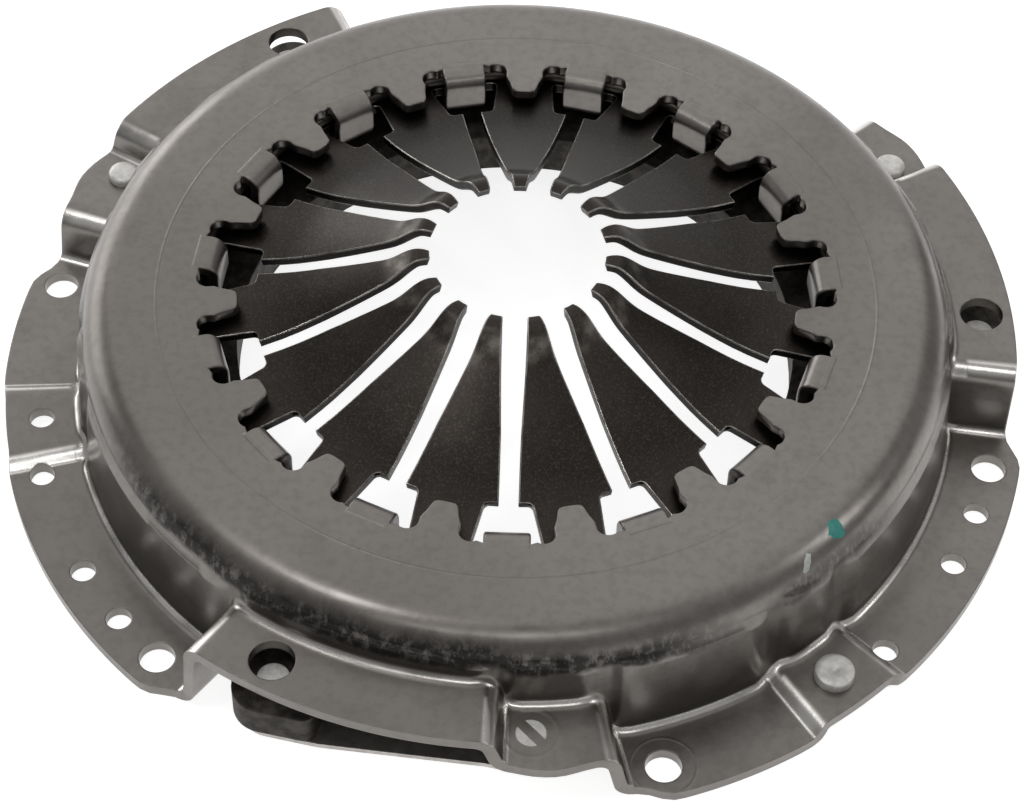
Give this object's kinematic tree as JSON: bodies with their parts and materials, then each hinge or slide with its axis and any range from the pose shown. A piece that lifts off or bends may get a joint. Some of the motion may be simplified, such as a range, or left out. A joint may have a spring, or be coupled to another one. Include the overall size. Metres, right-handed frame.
{
  "type": "diaphragm clutch cover assembly",
  "caption": "Pressed steel clutch cover with a diaphragm spring and a cast pressure plate hung on leaf straps; the plate slides and the spring fingers tilt",
  "frame": {"origin": "centre of the bolt circle on the clutch axis, in the plane of the flange that bolts to the flywheel", "axes": "+Z along the clutch axis from the flywheel towards the release bearing, -Y towards the side that shows the slotted rivet, +X to its right"},
  "size_m": [0.2676, 0.267, 0.0526],
  "materials": {
    "cover_steel": "satin",
    "spring_steel": "satin",
    "strap_steel": "satin",
    "rivet_steel": "satin",
    "plate_iron": "rough"
  },
  "bodies": {
    "cover_body": {"cover": "cover_steel", "fulcrum_ring": "cover_steel", "cover_strap_rivets": "rivet_steel", "balance_rivet": "rivet_steel", "strap_1_leaf_1": "strap_steel", "strap_1_leaf_2": "strap_steel", "strap_1_leaf_3": "strap_steel", "strap_2_leaf_1": "strap_steel", "strap_2_leaf_2": "strap_steel", "strap_2_leaf_3": "strap_steel", "strap_3_leaf_1": "strap_steel", "strap_3_leaf_2": "strap_steel", "strap_3_leaf_3": "strap_steel"},
    "plate_body": {"pressure_plate": "plate_iron", "plate_strap_rivets": "rivet_steel"},
    "spring_finger_01": {"spring_finger_01": "spring_steel"},
    "spring_finger_02": {"spring_finger_02": "spring_steel"},
    "spring_finger_03": {"spring_finger_03": "spring_steel"},
    "spring_finger_04": {"spring_finger_04": "spring_steel"},
    "spring_finger_05": {"spring_finger_05": "spring_steel"},
    "spring_finger_06": {"spring_finger_06": "spring_steel"},
    "spring_finger_07": {"spring_finger_07": "spring_steel"},
    "spring_finger_08": {"spring_finger_08": "spring_steel"},
    "spring_finger_09": {"spring_finger_09": "spring_steel"},
    "spring_finger_10": {"spring_finger_10": "spring_steel"},
    "spring_finger_11": {"spring_finger_11": "spring_steel"},
    "spring_finger_12": {"spring_finger_12": "spring_steel"},
    "spring_finger_13": {"spring_finger_13": "spring_steel"},
    "spring_finger_14": {"spring_finger_14": "spring_steel"},
    "spring_finger_15": {"spring_finger_15": "spring_steel"}
  },
  "joints": [
    {"name": "plate_slide", "type": "slide", "parent": "cover_body", "child": "plate_body", "axis": [0, 0, 1], "range_m": [0, 0.005], "stiffness_N_per_m": 4000, "springref_m": -0.002, "deforming": ["strap_1_leaf_1", "strap_1_leaf_2", "strap_1_leaf_3", "strap_2_leaf_1", "strap_2_leaf_2", "strap_2_leaf_3", "strap_3_leaf_1", "strap_3_leaf_2", "strap_3_leaf_3"]},
    {"name": "finger_01_tilt", "type": "hinge", "parent": "cover_body", "child": "spring_finger_01", "pos_m": [0.01726, -0.08119, 0.03047], "axis": [-0.9781, -0.2079, 0], "range_deg": [0, 16.9]},
    {"name": "finger_02_tilt", "type": "hinge", "parent": "cover_body", "child": "spring_finger_02", "pos_m": [0.04879, -0.06715, 0.03047], "axis": [-0.809, -0.5878, 0], "range_deg": [0, 16.9]},
    {"name": "finger_03_tilt", "type": "hinge", "parent": "cover_body", "child": "spring_finger_03", "pos_m": [0.07188, -0.0415, 0.03047], "axis": [-0.5, -0.866, 0], "range_deg": [0, 16.9]},
    {"name": "finger_04_tilt", "type": "hinge", "parent": "cover_body", "child": "spring_finger_04", "pos_m": [0.08254, -0.00868, 0.03047], "axis": [-0.1045, -0.9945, 0], "range_deg": [0, 16.9]},
    {"name": "finger_05_tilt", "type": "hinge", "parent": "cover_body", "child": "spring_finger_05", "pos_m": [0.07894, 0.02565, 0.03047], "axis": [0.309, -0.9511, 0], "range_deg": [0, 16.9]},
    {"name": "finger_06_tilt", "type": "hinge", "parent": "cover_body", "child": "spring_finger_06", "pos_m": [0.06168, 0.05554, 0.03047], "axis": [0.6691, -0.7431, 0], "range_deg": [0, 16.9]},
    {"name": "finger_07_tilt", "type": "hinge", "parent": "cover_body", "child": "spring_finger_07", "pos_m": [0.03376, 0.07582, 0.03047], "axis": [0.9135, -0.4067, 0], "range_deg": [0, 16.9]},
    {"name": "finger_08_tilt", "type": "hinge", "parent": "cover_body", "child": "spring_finger_08", "pos_m": [0, 0.083, 0.03047], "axis": [1, 0, 0], "range_deg": [0, 16.9]},
    {"name": "finger_09_tilt", "type": "hinge", "parent": "cover_body", "child": "spring_finger_09", "pos_m": [-0.03376, 0.07582, 0.03047], "axis": [0.9135, 0.4067, 0], "range_deg": [0, 16.9]},
    {"name": "finger_10_tilt", "type": "hinge", "parent": "cover_body", "child": "spring_finger_10", "pos_m": [-0.06168, 0.05554, 0.03047], "axis": [0.6691, 0.7431, 0], "range_deg": [0, 16.9]},
    {"name": "finger_11_tilt", "type": "hinge", "parent": "cover_body", "child": "spring_finger_11", "pos_m": [-0.07894, 0.02565, 0.03047], "axis": [0.309, 0.9511, 0], "range_deg": [0, 16.9]},
    {"name": "finger_12_tilt", "type": "hinge", "parent": "cover_body", "child": "spring_finger_12", "pos_m": [-0.08254, -0.00868, 0.03047], "axis": [-0.1045, 0.9945, 0], "range_deg": [0, 16.9]},
    {"name": "finger_13_tilt", "type": "hinge", "parent": "cover_body", "child": "spring_finger_13", "pos_m": [-0.07188, -0.0415, 0.03047], "axis": [-0.5, 0.866, 0], "range_deg": [0, 16.9]},
    {"name": "finger_14_tilt", "type": "hinge", "parent": "cover_body", "child": "spring_finger_14", "pos_m": [-0.04879, -0.06715, 0.03047], "axis": [-0.809, 0.5878, 0], "range_deg": [0, 16.9]},
    {"name": "finger_15_tilt", "type": "hinge", "parent": "cover_body", "child": "spring_finger_15", "pos_m": [-0.01726, -0.08119, 0.03047], "axis": [-0.9781, 0.2079, 0], "range_deg": [0, 16.9]}
  ],
  "couplings": [
    {"joint": "finger_01_tilt", "follows": "plate_slide", "rad_per_m": 58.824},
    {"joint": "finger_02_tilt", "follows": "plate_slide", "rad_per_m": 58.824},
    {"joint": "finger_03_tilt", "follows": "plate_slide", "rad_per_m": 58.824},
    {"joint": "finger_04_tilt", "follows": "plate_slide", "rad_per_m": 58.824},
    {"joint": "finger_05_tilt", "follows": "plate_slide", "rad_per_m": 58.824},
    {"joint": "finger_06_tilt", "follows": "plate_slide", "rad_per_m": 58.824},
    {"joint": "finger_07_tilt", "follows": "plate_slide", "rad_per_m": 58.824},
    {"joint": "finger_08_tilt", "follows": "plate_slide", "rad_per_m": 58.824},
    {"joint": "finger_09_tilt", "follows": "plate_slide", "rad_per_m": 58.824},
    {"joint": "finger_10_tilt", "follows": "plate_slide", "rad_per_m": 58.824},
    {"joint": "finger_11_tilt", "follows": "plate_slide", "rad_per_m": 58.824},
    {"joint": "finger_12_tilt", "follows": "plate_slide", "rad_per_m": 58.824},
    {"joint": "finger_13_tilt", "follows": "plate_slide", "rad_per_m": 58.824},
    {"joint": "finger_14_tilt", "follows": "plate_slide", "rad_per_m": 58.824},
    {"joint": "finger_15_tilt", "follows": "plate_slide", "rad_per_m": 58.824}
  ]
}
